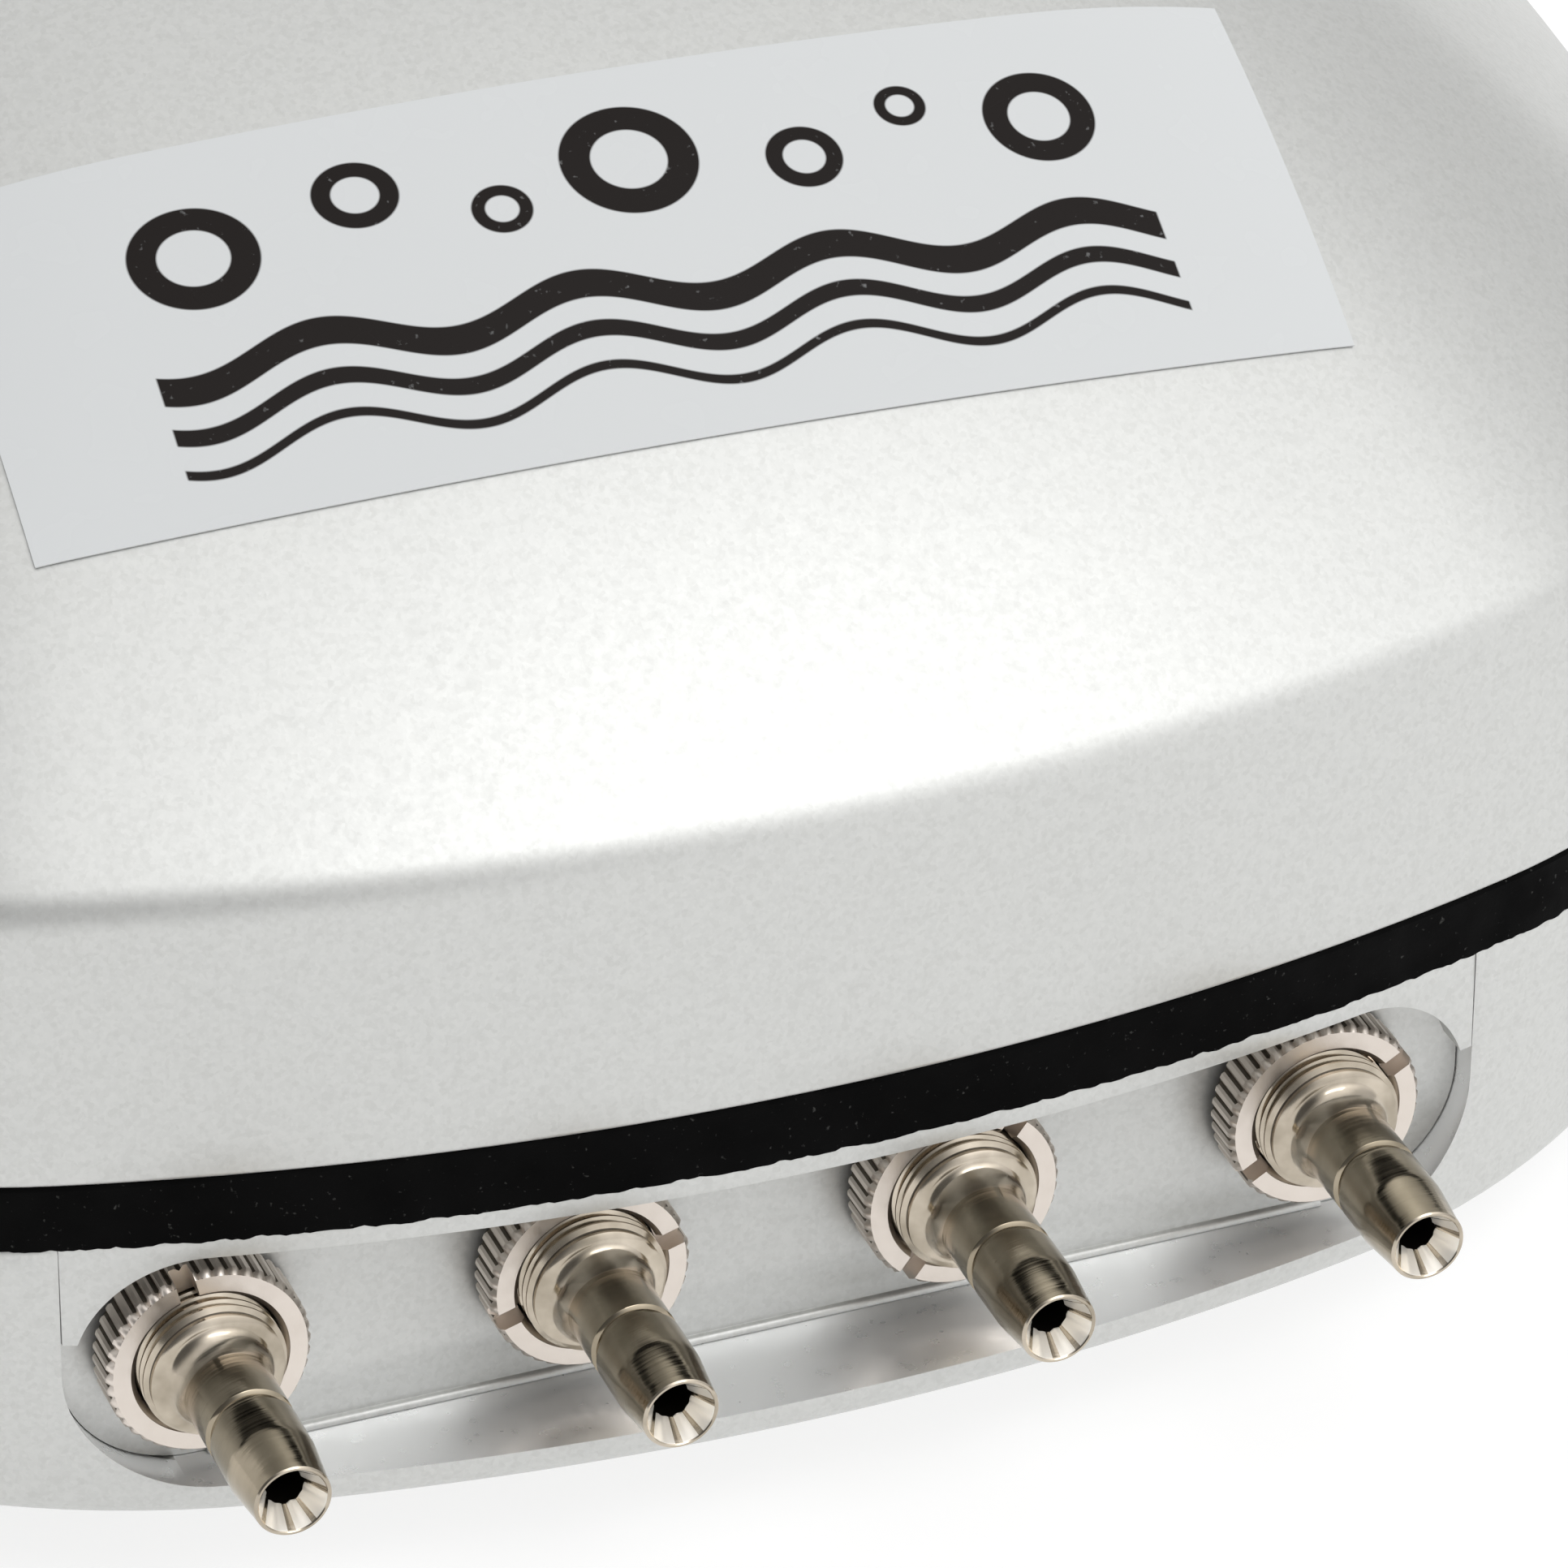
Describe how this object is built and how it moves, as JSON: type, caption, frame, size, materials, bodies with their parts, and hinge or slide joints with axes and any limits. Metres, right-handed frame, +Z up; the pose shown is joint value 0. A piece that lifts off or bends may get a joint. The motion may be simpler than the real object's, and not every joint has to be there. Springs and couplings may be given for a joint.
{
  "type": "air pump",
  "caption": "Twin-diaphragm aquarium air pump with a domed metal casing, a rubber seal between its halves and a row of hose nozzles in front.",
  "frame": {"origin": "middle of the overall box in plan, on the surface that the feet stand on", "axes": "+Z up, -Y towards the front where the nozzles point, +X to the right seen from the front"},
  "size_m": [0.152, 0.209, 0.0807],
  "materials": {
    "silver_paint": "fine metallic silver paint with a soft satin gloss and tiny sparkle",
    "gasket_rubber": "matte black, slightly rough along its lower edge",
    "nickel": "turned and nickel plated, warm bright tint, fine lathe lines",
    "nut_nickel": "nickel plated with a matte faced front and a knurled rim",
    "foot_rubber": "matte black",
    "zinc_steel": "zinc plated",
    "label_film": "smooth white film",
    "works_plastic": "moulded dark grey",
    "bobbin_plastic": "moulded off-white",
    "felt": "pressed white felt",
    "core_steel": "stacked thin sheets, dull",
    "copper_wire": "enamelled copper wire in even layers",
    "arm_metal": "satin",
    "ferrite": "dull dark grey",
    "works_rubber": "soft black"
  },
  "bodies": {
    "root": {"upper_casing": "silver_paint", "lower_casing": "silver_paint", "outlet_panel": "silver_paint", "casing_gasket": "gasket_rubber", "outlet_nozzle_1": "nickel", "outlet_nozzle_2": "nickel", "outlet_nozzle_3": "nickel", "outlet_nozzle_4": "nickel", "ring_nut_1": "nut_nickel", "ring_nut_2": "nut_nickel", "ring_nut_3": "nut_nickel", "ring_nut_4": "nut_nickel", "rubber_foot_1": "foot_rubber", "rubber_foot_2": "foot_rubber", "rubber_foot_3": "foot_rubber", "rubber_foot_4": "foot_rubber", "cable_gland": "foot_rubber", "casing_screw_1": "zinc_steel", "casing_screw_2": "zinc_steel", "casing_screw_3": "zinc_steel", "casing_screw_4": "zinc_steel", "core_screw_left": "zinc_steel", "core_screw_right": "zinc_steel", "pivot_pin_left": "zinc_steel", "pivot_pin_right": "zinc_steel", "core_clamp": "zinc_steel", "front_label": "label_film", "filter_cover": "works_plastic", "terminal_block": "works_plastic", "outlet_manifold": "works_plastic", "pump_frame": "works_plastic", "valve_box_left": "works_plastic", "valve_box_right": "works_plastic", "valve_cover_left": "works_plastic", "valve_cover_right": "works_plastic", "coil_bobbin": "bobbin_plastic", "intake_filter": "felt", "magnet_core": "core_steel", "coil_winding": "copper_wire", "diaphragm_left": "works_rubber", "diaphragm_right": "works_rubber", "air_hose_left": "works_rubber", "air_hose_right": "works_rubber", "frame_grommet_1": "works_rubber", "frame_grommet_2": "works_rubber", "frame_grommet_3": "works_rubber", "frame_grommet_4": "works_rubber"},
    "left_arm": {"swing_arm_left": "arm_metal", "arm_magnet_left": "ferrite", "pivot_bush_left": "works_rubber", "diaphragm_stud_left": "zinc_steel"},
    "left_outlet_valve": {"outlet_flap_left": "works_rubber"},
    "left_inlet_valve": {"inlet_flap_left": "works_rubber"},
    "right_arm": {"swing_arm_right": "arm_metal", "arm_magnet_right": "ferrite", "pivot_bush_right": "works_rubber", "diaphragm_stud_right": "zinc_steel"},
    "right_outlet_valve": {"outlet_flap_right": "works_rubber"},
    "right_inlet_valve": {"inlet_flap_right": "works_rubber"}
  },
  "joints": [
    {"name": "right_arm_swing", "type": "hinge", "parent": "root", "child": "right_arm", "pos_m": [0.02, -0.038, 0.037], "axis": [0, 0, 1], "range_deg": [-2.5, 2.5], "stiffness_Nm_per_rad": 0.5, "deforming": ["diaphragm_right"]},
    {"name": "left_arm_swing", "type": "hinge", "parent": "root", "child": "left_arm", "pos_m": [-0.02, -0.038, 0.037], "axis": [0, 0, 1], "range_deg": [-2.5, 2.5], "stiffness_Nm_per_rad": 0.5, "deforming": ["diaphragm_left"]},
    {"name": "right_outlet_valve_lift", "type": "hinge", "parent": "root", "child": "right_outlet_valve", "pos_m": [0.0423, -0.0075, 0.0425], "axis": [0, -1, 0], "range_deg": [0, 15], "stiffness_Nm_per_rad": 0.0002},
    {"name": "right_inlet_valve_lift", "type": "hinge", "parent": "root", "child": "right_inlet_valve", "pos_m": [0.0397, 0.0035, 0.0425], "axis": [0, 1, 0], "range_deg": [0, 15], "stiffness_Nm_per_rad": 0.0002},
    {"name": "left_outlet_valve_lift", "type": "hinge", "parent": "root", "child": "left_outlet_valve", "pos_m": [-0.0423, -0.0075, 0.0425], "axis": [0, 1, 0], "range_deg": [0, 15], "stiffness_Nm_per_rad": 0.0002},
    {"name": "left_inlet_valve_lift", "type": "hinge", "parent": "root", "child": "left_inlet_valve", "pos_m": [-0.0397, 0.0035, 0.0425], "axis": [0, -1, 0], "range_deg": [0, 15], "stiffness_Nm_per_rad": 0.0002}
  ],
  "couplings": [
    {"joint": "left_arm_swing", "follows": "right_arm_swing", "ratio": -1}
  ]
}
